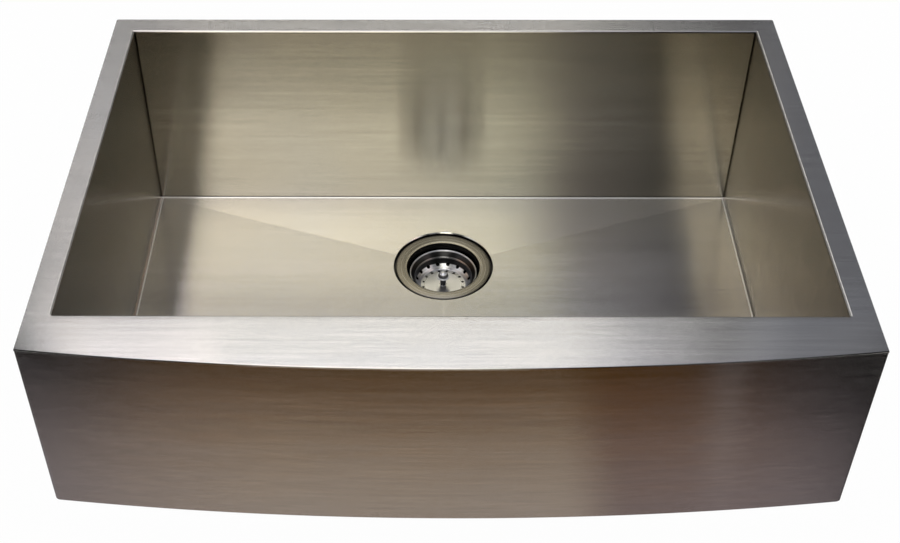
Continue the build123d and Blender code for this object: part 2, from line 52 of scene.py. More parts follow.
# where things lie, read from the frame
deckLow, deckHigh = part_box("front_deck")
apronLow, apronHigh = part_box("apron_panel")
bodyLow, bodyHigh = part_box("strainer_body")
drainY = (bodyLow[1] + bodyHigh[1]) / 2
flangeTop = bodyHigh[2]
halfWidth = deckHigh[0]
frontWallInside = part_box("bowl_front_panel")[1][1]
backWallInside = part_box("bowl_back_panel")[0][1]
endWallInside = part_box("bowl_right_panel")[0][0]
bowlFloor = -246.0 * mm  # where the floor meets the walls


def addCamera():
    photoView = {
        "place": (-0.02336, -1.34791, 0.84378),
        "right": (0.99998527, 0.00497708, -0.0021673),
        "ahead": (-0.00513835, 0.73905268, -0.67362804),
        "lensMm": 54.162, "sensorMm": 36.0,
        "shiftX": 0.03672, "shiftY": 0.00024,
        "nearest": 0.01, "furthest": 50,
    }
    data = bpy.data.cameras.new("photoCamera")
    cam = bpy.data.objects.new("photoCamera", data)
    scene.collection.objects.link(cam)
    right = Vector(photoView["right"]).normalized()
    ahead = Vector(photoView["ahead"]).normalized()
    up = right.cross(ahead)
    turn = Matrix((right, up, -ahead)).transposed()
    cam.matrix_world = Matrix.Translation(photoView["place"]) @ turn.to_4x4()
    data.lens = photoView["lensMm"]
    data.sensor_width = photoView["sensorMm"]
    data.shift_x = photoView["shiftX"]
    data.shift_y = photoView["shiftY"]
    data.clip_start = photoView["nearest"]
    data.clip_end = photoView["furthest"]
    scene.camera = cam


addCamera()
print("stage: camera")


def rgba(colour):
    # a colour, or one level of grey, as a colour socket takes it
    return (*colour, 1) if isinstance(colour, tuple) else (colour, colour, colour, 1)


class Shader:
    # a material whose nodes are added and wired by short calls
    def __init__(self, name):
        self.mat = bpy.data.materials.new(name)
        self.mat.use_nodes = True
        self.tree = self.mat.node_tree
        self.links = self.tree.links
        self.surface = self.tree.nodes["Principled BSDF"]
        self.out = self.tree.nodes["Material Output"]

    def add(self, kind, inputs=None, **settings):
        node = self.tree.nodes.new("ShaderNode" + kind)
        for key, value in settings.items():
            setattr(node, key, value)
        for key, value in (inputs or {}).items():
            self.put(node, key, value)
        return node

    def put(self, node, key, value):
        socket = node.inputs[key]
        if isinstance(value, bpy.types.NodeSocket):
            self.links.new(value, socket)
        elif isinstance(value, bpy.types.Node):
            self.links.new(value.outputs[0], socket)
        else:
            socket.default_value = value

    def maths(self, operation, a, b=0.0, c=0.0):
        return self.add("Math", {0: a, 1: b, 2: c}, operation=operation).outputs[0]

    def vector(self, operation, a, b=(0, 0, 0)):
        return self.add("VectorMath", {0: a, 1: b}, operation=operation).outputs[0]

    def scaled(self, a, amount):
        return self.add("VectorMath", {0: a, "Scale": amount}, operation="SCALE").outputs[0]

    def length(self, vector):
        return self.add("VectorMath", {0: vector}, operation="LENGTH").outputs["Value"]

    def split(self, vector):
        return self.add("SeparateXYZ", {0: vector}).outputs

    def place(self):
        return self.add("TexCoord").outputs["Object"]

    def noise(self, vector, scale, detail=2.0, roughness=0.5):
        settings = {"Vector": vector, "Scale": scale, "Detail": detail, "Roughness": roughness}
        return self.add("TexNoise", settings).outputs["Fac"]

    def grit(self, vector):
        return self.add("TexWhiteNoise", {"Vector": vector}).outputs["Value"]

    def span(self, value, low, high, lowOut=0.0, highOut=1.0):
        inputs = {"Value": value, "From Min": low, "From Max": high, "To Min": lowOut, "To Max": highOut}
        return self.add("MapRange", inputs).outputs[0]

    def blend(self, share, none, full):
        # a number that goes from none to full with a share of 0 to 1
        return self.span(share, 0.0, 1.0, none, full)

    def swing(self, noise, low=-1.0, high=1.0, reach=0.2):
        # a noise mostly keeps within reach of its middle, and is stretched from there to low and high
        return self.span(noise, 0.5 - reach, 0.5 + reach, low, high)

    def ramp(self, factor, stops):
        # stops are places from 0 to 1, each with a colour or one level of grey
        node = self.add("ValToRGB", {"Fac": factor})
        node.color_ramp.interpolation = "LINEAR"
        elements = node.color_ramp.elements
        while len(elements) > 1:
            elements.remove(elements[-1])
        for i, (at, colour) in enumerate(stops):
            element = elements[0] if i == 0 else elements.new(at)
            element.position = at
            element.color = rgba(colour)
        return node.outputs[0]

    def mix(self, factor, a, b):
        node = self.add("Mix", data_type="RGBA")
        self.put(node, 0, factor)
        for index, value in ((6, a), (7, b)):
            self.put(node, index, value if isinstance(value, bpy.types.NodeSocket) else rgba(value))
        return node.outputs[2]

    def pickVector(self, factor, a, b):
        node = self.add("Mix", data_type="VECTOR")
        for index, value in ((0, factor), (4, a), (5, b)):
            self.put(node, index, value)
        return node.outputs[1]

    def bump(self, height, strength, depth):
        relief = self.add("Bump", {"Height": height, "Strength": strength, "Distance": depth})
        self.put(self.surface, "Normal", relief)


steelShared = {
    "endWallFacing": 0.7, "cloud": 7.0, "smearThin": 9.0, "brightest": 0.97, "roughSwing": 0.1,
    "reliefDepth": 0.01 * mm, "secondDraw": (3.1, 1.7, 5.3),
}


def brushedSteel(name, look, grain):
    # steel that mirrors sharply along its grain and blurs across it
    s = Shader(name)
    thin = look["thin"]
    geometry = s.add("NewGeometry")
    position, normal = geometry.outputs["Position"], geometry.outputs["Normal"]
    place = s.place()
    if grain == "sheet":  # brushed from side to side, and upright on the end walls, as the sheet was folded
        facing = s.split(s.vector("ABSOLUTE", normal))[0]
        endWall = s.maths("GREATER_THAN", facing, steelShared["endWallFacing"])
        along = s.pickVector(endWall, (1.0, 0.0, 0.0), (0.0, 0.0, 1.0))
        lines = s.pickVector(endWall, s.vector("MULTIPLY", place, (1.0, thin, thin)),
                             s.vector("MULTIPLY", place, (thin, thin, 1.0)))
        spread = s.blend(endWall, look["spread"], look["endSpread"])
    else:  # turned on a lathe: the grain runs round the drain
        fromAxis = s.vector("SUBTRACT", position, (0.0, drainY, 0.0))
        flat = s.vector("MULTIPLY", fromAxis, (1.0, 1.0, 0.0))
        along = s.vector("NORMALIZE", s.vector("CROSS_PRODUCT", (0.0, 0.0, 1.0), flat))
        radius, height = s.length(flat), s.split(fromAxis)[2]
        lines = s.add("CombineXYZ", {0: 0.0, 1: s.maths("MULTIPLY", radius, thin),
                                     2: s.maths("MULTIPLY", height, thin)}).outputs[0]
        spread = look["spread"]
    across = s.vector("NORMALIZE", s.vector("CROSS_PRODUCT", normal, along))

    # a point's distance out from the drain's axis and down from its flange,
    # in millimetres and moving with the piece
    axisPlace = s.vector("SUBTRACT", place, (0.0, drainY, flangeTop))
    out = s.maths("DIVIDE", s.length(s.vector("MULTIPLY", axisPlace, (1.0, 1.0, 0.0))), mm)
    drop = s.maths("DIVIDE", s.split(axisPlace)[2], -mm)
    zone = {"spread": 1.0, "streaks": 1.0, "film": None, **look["zones"](s, place, out, drop)}

    fine = s.noise(lines, look["fine"], 1.0)
    wide = s.noise(lines, look["wide"])
    smearThin = steelShared["smearThin"]
    smear = s.noise(s.vector("MULTIPLY", place, (1.0, smearThin, smearThin)), look["smear"])
    cloud = s.noise(place, steelShared["cloud"], 3.0)

    streak = 0.0
    for source, share in ((fine, "fineTone"), (wide, "wideTone"), (smear, "smearTone")):
        streak = s.maths("MULTIPLY_ADD", s.swing(source), look[share], streak)
    shade = s.maths("MULTIPLY_ADD", streak, zone["streaks"], 1.0)
    tint = s.mix(s.swing(cloud, 0.0, 1.0, 0.15), look["cool"], look["warm"])
    colour = s.vector("MULTIPLY", s.scaled(tint, shade), zone["tone"])
    s.put(s.surface, "Base Color", s.vector("MINIMUM", colour, (steelShared["brightest"],) * 3))
    s.surface.inputs["Metallic"].default_value = 1.0
    if zone["film"]:
        s.put(s.surface, "Metallic", s.maths("SUBTRACT", 1.0, zone["film"]))
    rough, roughSwing = look["rough"], steelShared["roughSwing"]
    s.put(s.surface, "Roughness", s.swing(wide, rough * (1 - roughSwing), rough * (1 + roughSwing)))
    s.surface.inputs["Anisotropic"].default_value = look["drawn"]
    s.put(s.surface, "Tangent", across)

    # each brush line tips the surface a little about the grain, which spreads light across it;
    # two draws of grit added up tip it by a little more often than by much
    secondPlace = s.vector("ADD", place, steelShared["secondDraw"])
    tilt = s.maths("SUBTRACT", s.maths("ADD", s.grit(place), s.grit(secondPlace)), 1.0)
    tilt = both(s, tilt, spread, zone["spread"])
    tilt = s.maths("MULTIPLY_ADD", s.swing(fine), look["lineTilt"], tilt)
    tilt = s.maths("MULTIPLY_ADD", s.swing(smear), look["smearTilt"], tilt)
    tipped = s.vector("NORMALIZE", s.vector("ADD", normal, s.scaled(across, tilt)))
    relief = s.add("Bump", {"Height": fine, "Strength": look["relief"],
                            "Distance": steelShared["reliefDepth"], "Normal": tipped})
    s.put(s.surface, "Normal", relief)
    return s.mat


def past(s, value, at, soft=0.2 * mm):
    # 0 below at and 1 above it
    return s.span(value, at - soft / 2, at + soft / 2)


def between(s, value, low, high, soft=0.2 * mm):
    # 1 from low to high, fading to 0 over soft on both sides
    return s.maths("MULTIPLY", s.span(value, low - soft, low), s.span(value, high, high + soft, 1.0, 0.0))


def both(s, *parts):
    product = parts[0]
    for part in parts[1:]:
        product = s.maths("MULTIPLY", product, part)
    return product


def rest(s, share):
    return s.maths("SUBTRACT", 1.0, share)


def sheetZones(s, place, out, drop):
    # each tone is a share of the steel's colour, mostly painted light and shade on the sheet; film is the
    # share that scatters like a dull film
    # painted light on the floor: lighter towards the back
    floor = {
        "paintedLightFromFront": [(0.0, 0.86), (0.31, 0.86), (0.60, 0.92), (0.80, 1.16), (0.92, 1.46), (1.0, 1.55)],
        "left": 0.87, "right": 0.86, "front": 0.90, "back": 1.0, "creaseSoft": 0.02,
        "filmFrom": 0.4, "film": 0.22, "spread": 1.15, "streaks": 0.4,
    }
    # painted light and shade by height: the back wall darker near the floor and lightest about its middle,
    # the end walls darker and warmer towards their top
    walls = {
        "backShadeUp": [(0.0, (0.62, 0.62, 0.60)), (0.12, (0.67, 0.67, 0.63)), (0.46, (1.14, 1.13, 1.02)),
                   (0.83, (1.04, 1.02, 0.88)), (1.0, (0.96, 0.92, 0.77))],
        "endShadeUp": [(0.0, (1.02, 0.96, 0.84)), (0.22, (1.02, 0.93, 0.76)), (0.6, (0.66, 0.58, 0.44)),
                  (1.0, (0.46, 0.40, 0.30))],
    }
    # painted light and shade on the apron by height: lightest about its middle, darker at its top and bottom;
    # the rims are darker than the deck
    outer = {
        "apronShadeUp": [(0.0, 0.88), (0.15, 0.97), (0.5, 1.12), (0.8, 1.0), (1.0, 0.76)],
        "rims": 0.86, "rimFade": 60.0 * mm, "rimStreaks": 1.1, "apronStreaks": 1.35,
        "apronFrom": -3.0 * mm, "apronSoft": 1.0 * mm,
    }
    # painted highlight lines where the floor meets the walls, and a painted shadow above the back one
    jointGlint = {"tone": 1.5, "width": 1.3 * mm, "up": 1.2 * mm, "under": 1.0 * mm, "film": 0.5,
            "shadow": 0.3, "shadowWidth": 1.4 * mm}
    # painted shade: a dark ring in the gap round the drain's flange, and darker corners where the end walls
    # meet the back
    dark = {"sealFrom": 56.3, "sealTo": 59.4, "sealSoft": 0.4, "seal": 0.04,
            "corner": 0.22, "cornerShadeWidth": 1.5 * mm}
    slack, nearWall, aboveFloor, bend = 0.3 * mm, 1.0 * mm, 1.0 * mm, 1.5 * mm

    x, y, z = s.split(place)
    aside = s.maths("ABSOLUTE", x)
    betweenEnds = s.span(aside, endWallInside + slack, endWallInside + slack + 0.2 * mm, 1.0, 0.0)
    inBowl = both(s, between(s, y, frontWallInside, backWallInside + slack), betweenEnds)
    onFloor = both(s, s.span(z, bowlFloor + aboveFloor, bowlFloor + aboveFloor + 0.4 * mm, 1.0, 0.0), inBowl)
    onWall = both(s, rest(s, onFloor), inBowl)
    onBack = both(s, past(s, y, backWallInside - nearWall), onWall)
    onEnd = both(s, past(s, aside, endWallInside - nearWall), onWall)
    up = s.span(z, bowlFloor, 0.0)
    forward = s.span(y, frontWallInside, backWallInside)

    # the floor's four facets, which meet in creases from the corners to the drain, each painted a light and
    # shade level of its own
    lean = s.maths("DIVIDE", aside, endWallInside)
    toBack = s.maths("SUBTRACT", s.span(y, drainY, backWallInside), lean)
    toFront = s.maths("SUBTRACT", s.span(y, frontWallInside, drainY, 1.0, 0.0), lean)
    facetShade = s.span(x, -1.0 * mm, 1.0 * mm, floor["left"], floor["right"])
    facetShade = s.mix(past(s, toFront, 0.0, floor["creaseSoft"]), facetShade, floor["front"])
    facetShade = s.mix(past(s, toBack, 0.0, floor["creaseSoft"]), facetShade, floor["back"])
    floorPaintedLight = s.vector("MULTIPLY", s.ramp(forward, floor["paintedLightFromFront"]), facetShade)

    outside = rest(s, inBowl)
    apronTo = outer["apronFrom"] + outer["apronSoft"]
    onApron = both(s, s.span(z, outer["apronFrom"], apronTo, 1.0, 0.0), outside)
    onRims = both(s, s.span(y, frontWallInside, frontWallInside + outer["rimFade"]), outside)
    tone = s.mix(onRims, 1.0, outer["rims"])
    tone = s.mix(onApron, tone, s.ramp(s.span(z, apronLow[2], 0.0), outer["apronShadeUp"]))
    tone = s.mix(onBack, tone, s.ramp(up, walls["backShadeUp"]))
    tone = s.mix(onEnd, tone, s.ramp(up, walls["endShadeUp"]))
    tone = s.mix(onFloor, tone, floorPaintedLight)

    # painted highlight lines where the floor meets the walls, with a painted shadow above the one at the
    # back, and painted shade in the corners
    lineTop = bowlFloor + jointGlint["up"]
    sideGlint = between(s, aside, endWallInside - bend - jointGlint["width"], endWallInside - bend)
    backGlint = both(s, past(s, y, backWallInside - jointGlint["width"]),
                    between(s, z, bowlFloor - jointGlint["under"], lineTop))
    line = s.maths("MAXIMUM", both(s, sideGlint, onFloor), both(s, backGlint, inBowl))
    shadow = both(s, onBack, between(s, z, lineTop, lineTop + jointGlint["shadowWidth"]))
    corner = both(s, past(s, aside, endWallInside - dark["cornerShadeWidth"]),
                  past(s, y, backWallInside - dark["cornerShadeWidth"]), onWall)
    # a painted dark ring of shade in the gap round the drain's flange
    seal = between(s, out, dark["sealFrom"], dark["sealTo"], dark["sealSoft"])
    paintedMarks = ((line, jointGlint["tone"]), (shadow, jointGlint["shadow"]), (corner, dark["corner"]), (seal, dark["seal"]))
    for share, level in paintedMarks:
        tone = s.scaled(tone, s.blend(share, 1.0, level))

    film = both(s, onFloor, s.span(forward, floor["filmFrom"], 1.0, 0.0, floor["film"]))
    outerStreaks = s.blend(onApron, outer["rimStreaks"], outer["apronStreaks"])
    return {
        "tone": tone, "spread": s.blend(onFloor, 1.0, floor["spread"]),
        "film": s.maths("MAXIMUM", film, s.maths("MULTIPLY", line, jointGlint["film"])),
        "streaks": both(s, s.blend(onFloor, 1.0, floor["streaks"]), s.blend(inBowl, outerStreaks, 1.0)),
    }


def ringTones(s, out, stops):
    # tones by distance from the drain's axis, in millimetres
    low, high = stops[0][0], stops[-1][0]
    return s.ramp(s.span(out, low, high), [((radius - low) / (high - low), tone) for radius, tone in stops])


def throatZones(s, place, out, drop):
    # the cup's inside is painted near black as shade, its lip carries a painted highlight at the back, and
    # the flange is painted darker towards its edge and its back as shade
    throat = {
        "dark": 0.04, "lip": 0.95, "flange": 0.64, "flangeOut": 0.576, "edge": 0.2, "outside": 0.9,
        "shadeAtBack": 0.62, "lipHighlightAtFront": 0.5, "lipFrom": 44.0, "lipTo": 46.2, "turnHalf": 50 * mm,
        "wall": 43.2, "seatFrom": 30.0, "seatSlope": 0.39, "seatDrop": 37.5,
    }
    # painted shade on the flange's back, and the lip's painted highlight fading towards its front
    toBack = s.span(s.split(place)[1], drainY - throat["turnHalf"], drainY + throat["turnHalf"])
    onLip = between(s, out, throat["lipFrom"], throat["lipTo"], 1.0)
    lipHighlight = s.span(toBack, 0.3, 0.9, throat["lipHighlightAtFront"], 1.0)
    turn = s.mix(onLip, s.blend(toBack, 1.0, throat["shadeAtBack"]), lipHighlight)
    # painted tones by radius: the cup's inside near black as shade, the lip bright as a highlight, the
    # flange's edge dark as shade
    ring = ringTones(s, out, [
        (40.0, throat["dark"]), (43.8, throat["dark"]), (44.5, throat["lip"]), (45.4, throat["lip"]),
        (47.0, throat["flange"]), (55.6, throat["flangeOut"]),
        (56.2, throat["edge"]), (60.0, throat["edge"])])
    # the cup's inside lower down is painted near black as shade
    pastSeat = s.maths("MAXIMUM", s.maths("SUBTRACT", out, throat["seatFrom"]), 0.0)
    depth = s.maths("MULTIPLY_ADD", pastSeat, throat["seatSlope"], drop)
    inside = both(s, s.span(depth, throat["seatDrop"], throat["seatDrop"] + 0.3, 1.0, 0.0),
                  s.span(out, throat["wall"], throat["wall"] + 0.3, 1.0, 0.0))
    cup = s.mix(inside, throat["outside"], throat["dark"])
    return {"tone": s.mix(s.span(drop, 2.0, 3.0), s.vector("MULTIPLY", ring, turn), cup)}


def basketZones(s, place, out, drop):
    # floor, ledge, rim and knob at full tone, and walls and post painted near black as shade, with a painted
    # dark reflection round the knob's dome
    basketShading = {
        "dark": 0.05, "bright": 1.0, "step": 0.5, "under": 0.7, "underFrom": 30.5,
        "knobRadius": 8.0, "knobDrop": 16.7, "knobFilm": 0.35, "stemDrop": 28.8,
        "domeFlankReflection": 0.22, "flankFrom": 4.7, "flankTo": 6.2,
    }
    dark, bright, step = basketShading["dark"], basketShading["bright"], basketShading["step"]
    # painted shade by radius: the walls near black, the step at half tone
    cup = ringTones(s, out, [
        (26.0, bright), (32.56, bright), (32.88, dark), (33.44, dark), (33.68, step), (34.48, step),
        (34.8, dark), (38.32, dark), (38.8, bright), (42.0, bright)])
    knobEnd = basketShading["knobDrop"] + 0.3
    nearAxis = s.span(out, basketShading["knobRadius"], basketShading["knobRadius"] + 1.0, 1.0, 0.0)
    # the post painted near black as shade
    shadedStem = both(s, nearAxis, between(s, drop, knobEnd, basketShading["stemDrop"], 0.3))
    knob = both(s, nearAxis, s.span(drop, basketShading["knobDrop"], knobEnd, 1.0, 0.0))
    # a painted dark reflection round the dome's flank
    domeReflection = both(s, knob, between(s, out, basketShading["flankFrom"], basketShading["flankTo"], 0.5))
    # the cup's outside below the floor is darker
    tone = s.mix(s.span(drop, basketShading["underFrom"], basketShading["underFrom"] + 0.5), cup, basketShading["under"])
    tone = s.mix(domeReflection, tone, basketShading["domeFlankReflection"])
    return {"tone": s.mix(shadedStem, tone, dark), "film": s.maths("MULTIPLY", knob, basketShading["knobFilm"])}


sheetLook = {
    "cool": (0.598, 0.586, 0.56), "warm": (0.613, 0.594, 0.556), "zones": sheetZones,
    "rough": 0.16, "drawn": 1.0, "spread": 0.24, "endSpread": 0.16,
    "lineTilt": 0.006, "smearTilt": 0.015, "relief": 0.15,
    "thin": 60.0, "fine": 9.0, "wide": 3.5, "smear": 9.0,
    "fineTone": 0.042, "wideTone": 0.038, "smearTone": 0.03,
}
drainLook = {
    "cool": (0.56, 0.54, 0.50), "warm": (0.59, 0.56, 0.51), "zones": throatZones,
    "rough": 0.26, "drawn": 0.8, "spread": 0.12, "lineTilt": 0.03, "smearTilt": 0.0, "relief": 0.2,
    "thin": 200.0, "fine": 12.0, "wide": 4.0, "smear": 30.0,
    "fineTone": 0.03, "wideTone": 0.04, "smearTone": 0.02,
}
basketLook = {
    "cool": (0.80, 0.82, 0.86), "warm": (0.84, 0.85, 0.87), "zones": basketZones,
    "rough": 0.3, "drawn": 0.2, "spread": 0.12, "lineTilt": 0.004, "smearTilt": 0.0, "relief": 0.05,
    "thin": 200.0, "fine": 10.0, "wide": 3.0, "smear": 60.0,
    "fineTone": 0.01, "wideTone": 0.01, "smearTone": 0.02,
}


def pittedMetal(name):
    zinc = {"bright": (0.58, 0.58, 0.57), "dull": (0.36, 0.36, 0.37), "rough": (0.34, 0.55),
            "grain": 900.0, "cloud": 45.0,
            "pits": 420.0, "pitWidth": 0.25, "pitShare": 0.6, "depth": 0.10 * mm}
    s = Shader(name)
    place = s.place()
    grain = s.noise(place, zinc["grain"], 3.0)
    cloud = s.noise(place, zinc["cloud"], 4.0)
    pits = s.add("TexVoronoi", {"Vector": place, "Scale": zinc["pits"]}).outputs["Distance"]
    s.put(s.surface, "Base Color", s.mix(s.swing(cloud, 0.0, 1.0, 0.15), zinc["dull"], zinc["bright"]))
    s.surface.inputs["Metallic"].default_value = 1.0
    s.put(s.surface, "Roughness", s.swing(grain, *zinc["rough"]))
    height = s.maths("MULTIPLY_ADD", s.span(pits, 0.0, zinc["pitWidth"]), zinc["pitShare"], grain)
    s.bump(height, 0.5, zinc["depth"])
    return s.mat


def softRubber(name):
    rubber = {"dark": (0.018, 0.018, 0.019), "grey": (0.045, 0.044, 0.042), "rough": (0.5, 0.72),
              "grain": 1500.0, "bloom": 55.0, "bloomFrom": 0.45, "bloomTo": 0.75, "depth": 0.05 * mm}
    s = Shader(name)
    place = s.place()
    grain = s.noise(place, rubber["grain"], 3.0, 0.6)
    bloom = s.noise(place, rubber["bloom"], 4.0)
    bloomed = s.span(bloom, rubber["bloomFrom"], rubber["bloomTo"])
    s.put(s.surface, "Base Color", s.mix(bloomed, rubber["dark"], rubber["grey"]))
    s.put(s.surface, "Roughness", s.swing(bloom, *rubber["rough"]))
    s.bump(grain, 0.4, rubber["depth"])
    return s.mat


def soundPad(name):
    # a moulded damping pad: rows of shallow dimples, painted darker as shade, over a mottled grey
    pad = {"dark": (0.135, 0.14, 0.145), "light": (0.22, 0.225, 0.23), "inDimpleShade": (0.09, 0.09, 0.095),
           "dimpleShade": 0.35, "rough": (0.68, 0.9), "mottle": 60.0, "speck": 1800.0, "speckShare": 0.15,
           "dimple": 110.0, "dimpleFrom": 0.15, "dimpleTo": 0.45, "depth": 0.5 * mm}
    s = Shader(name)
    place = s.place()
    mottle = s.noise(place, pad["mottle"], 5.0, 0.6)
    speck = s.noise(place, pad["speck"])
    rows = s.add("TexVoronoi", {"Vector": place, "Scale": pad["dimple"], "Randomness": 0.0})
    dimple = s.span(rows.outputs["Distance"], pad["dimpleFrom"], pad["dimpleTo"])
    tone = s.mix(s.swing(mottle, 0.0, 1.0, 0.15), pad["dark"], pad["light"])
    # the dimples painted darker as shade
    s.put(s.surface, "Base Color", s.mix(s.blend(dimple, pad["dimpleShade"], 0.0), tone, pad["inDimpleShade"]))
    s.put(s.surface, "Roughness", s.swing(speck, *pad["rough"]))
    s.bump(s.maths("MULTIPLY_ADD", speck, pad["speckShare"], dimple), 0.6, pad["depth"])
    return s.mat


def fibrousRing(name, dark, light, grain):
    ring = {"flatten": (1.0, 1.0, 4.0), "blotch": 70.0, "blotchFrom": 0.4, "blotchTo": 0.8,
            "blotchShade": 0.5, "rough": (0.72, 0.92), "depth": 0.12 * mm}
    s = Shader(name)
    place = s.place()
    strands = s.noise(s.vector("MULTIPLY", place, ring["flatten"]), grain, 5.0, 0.65)
    blotch = s.noise(place, ring["blotch"], 3.0)
    blotched = s.span(blotch, ring["blotchFrom"], ring["blotchTo"], 0.0, ring["blotchShade"])
    tone = s.mix(s.swing(strands, 0.0, 1.0), dark, light)
    s.put(s.surface, "Base Color", s.mix(blotched, tone, dark))
    s.put(s.surface, "Roughness", s.swing(strands, *ring["rough"]))
    s.bump(strands, 0.5, ring["depth"])
    return s.mat


finishes = {
    "brushed_steel": brushedSteel("brushedSheet", sheetLook, "sheet"),
    "drain_steel": brushedSteel("turnedSteel", drainLook, "turned"),
    "polished_steel": brushedSteel("polishedBasket", basketLook, "turned"),
    "zinc_nut": pittedMetal("castZinc"),
    "black_rubber": softRubber("mouldedRubber"),
    "grey_pad": soundPad("soundPad"),
    "grey_putty": fibrousRing("plumbersPutty", (0.24, 0.235, 0.22), (0.36, 0.35, 0.33), 240.0),
    "fibre": fibrousRing("pressedFibre", (0.10, 0.075, 0.05), (0.22, 0.165, 0.12), 700.0),
}
for node, part in subparts.items():
    mesh = nodes[node].data
    mesh.materials.clear()
    mesh.materials.append(finishes[part["material_slot"]])
print("stage: finishes")


def softened(points, sizes, steps=5):
    # a line of points with the inner corners named in sizes turned into arcs
    straight = math.radians(178)
    out = [Vector(points[0])]
    for i in range(1, len(points) - 1):
        here, before, after = Vector(points[i]), Vector(points[i - 1]), Vector(points[i + 1])
        size = sizes.get(i, 0)
        toBefore, toAfter = before - here, after - here
        turn = toBefore.angle(toAfter)
        if not size or turn > straight:
            out.append(here)
            continue
        reach = min(size / math.tan(turn / 2), 0.45 * toBefore.length, 0.45 * toAfter.length)
        start, end = here + toBefore.normalized() * reach, here + toAfter.normalized() * reach
        for k in range(steps + 1):
            t = k / steps
            out.append(start * (1 - t) ** 2 + here * 2 * t * (1 - t) + end * t ** 2)
    out.append(Vector(points[-1]))
    return [tuple(p) for p in out]


def quarterTurn(steps):
    return [math.pi / 2 * k / steps for k in range(steps + 1)]


def smoothMesh(mesh, sharpDeg):
    mesh.shade_smooth()
    mesh.set_sharp_from_angle(angle=math.radians(sharpDeg))


def addPiece(name, node, verts, faces, sharpDeg=32):
    # one finished piece that stands for a node of the frame and moves with it:
    # closed up, facing outwards and smooth except at its real edges
    mesh = bpy.data.meshes.new(name)
    mesh.from_pydata([tuple(v) for v in verts], [], faces)
    slotName = subparts[node]["material_slot"]
    mesh.materials.append(finishes[slotName])
    obj = bpy.data.objects.new(name, mesh)
    scene.collection.objects.link(obj)
    bm = bmesh.new()
    bm.from_mesh(mesh)
    bmesh.ops.remove_doubles(bm, verts=bm.verts, dist=1e-6)
    bmesh.ops.dissolve_degenerate(bm, edges=bm.edges, dist=1e-7)
    bmesh.ops.recalc_face_normals(bm, faces=bm.faces)
    bm.to_mesh(mesh)
    bm.free()
    smoothMesh(mesh, sharpDeg)
    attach(obj, bodyOf[node])
    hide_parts(node)
    return obj


def loft(loops):
    # faces between neighbouring loops of equally many points, with both ends capped
    count = len(loops[0])
    verts = [p for loop in loops for p in loop]
    faces = []
    for i in range(len(loops) - 1):
        for k in range(count):
            n = (k + 1) % count
            faces.append((i * count + k, i * count + n, (i + 1) * count + n, (i + 1) * count + k))
    last = (len(loops) - 1) * count
    faces.append(tuple(range(count)))
    faces.append(tuple(last + k for k in reversed(range(count))))
    return verts, faces


bowRise = 21.8 * mm  # how far the front's crest stands before its corners
bowRadius = (halfWidth ** 2 + bowRise ** 2) / (2 * bowRise)
bowCentreY = deckLow[1] + bowRadius


def bowY(x, inset=0.0):
    return bowCentreY - math.sqrt((bowRadius - inset) ** 2 - x ** 2)


def addFrontDeck():
    deck = {
        "sheet": 1.5 * mm, "nose": 1.2 * mm, "noseSteps": 6,
        "bend": 2.5 * mm, "bendSteps": 8, "lip": 12.0 * mm, "flat": 6.0 * mm,
        "opening": 357.0 * mm, "columns": 96, "endColumns": 4,
    }
    sheet, nose, half, bend = deck["sheet"], deck["nose"], deck["opening"], deck["bend"]
    joinY = frontWallInside - bend - deck["flat"]
    noseTurns = quarterTurn(deck["noseSteps"])

    def section(x, innerY):
        front = bowY(x)
        loop = [(x, innerY, 0.0), (x, joinY, 0.0)]
        loop += [(x, front + nose - nose * math.sin(a), -nose + nose * math.cos(a)) for a in noseTurns]
        loop += [(x, front, -sheet), (x, joinY, -sheet), (x, innerY, -sheet)]
        return loop

    # the flat sheet, which narrows where the bowl's opening starts
    ends = [halfWidth - (halfWidth - half) * t / deck["endColumns"] for t in range(deck["endColumns"] + 1)]
    middle = [-half + 2 * half * i / deck["columns"] for i in range(deck["columns"] + 1)]
    stations = [(-x, frontWallInside) for x in ends] + [(x, joinY) for x in middle]
    stations += [(x, frontWallInside) for x in reversed(ends)]
    loops = [section(x, y) for x, y in stations]
    count = len(loops[0])
    verts = [p for loop in loops for p in loop]
    faces = []
    for i in range(len(loops) - 1):
        here, ahead = i * count, (i + 1) * count
        for k in range(count):
            n = (k + 1) % count
            if stations[i][0] == stations[i + 1][0] and k != count - 1:
                continue
            faces.append((here + k, here + n, ahead + n, ahead + k))
    faces.append(tuple(range(count)))
    faces.append(tuple(reversed(range(len(verts) - count, len(verts)))))

    # the turned-down lip along the bowl's front wall
    bendArc = [(math.sin(a), math.cos(a)) for a in quarterTurn(deck["bendSteps"])]
    centreY, inner = frontWallInside - bend, bend - sheet
    profile = [(joinY, 0.0)]
    profile += [(centreY + bend * u, -bend + bend * v) for u, v in bendArc]
    profile += [(frontWallInside, -deck["lip"]), (frontWallInside - sheet, -deck["lip"])]
    profile += [(centreY + inner * u, -bend + inner * v) for u, v in reversed(bendArc)]
    profile += [(joinY, -sheet)]
    lipVerts, lipFaces = loft([[(x, y, z) for y, z in profile] for x in (-half, half)])
    base = len(verts)
    verts += lipVerts
    faces += [tuple(base + i for i in face) for face in lipFaces]
    addPiece("frontDeck", "front_deck", verts, faces)


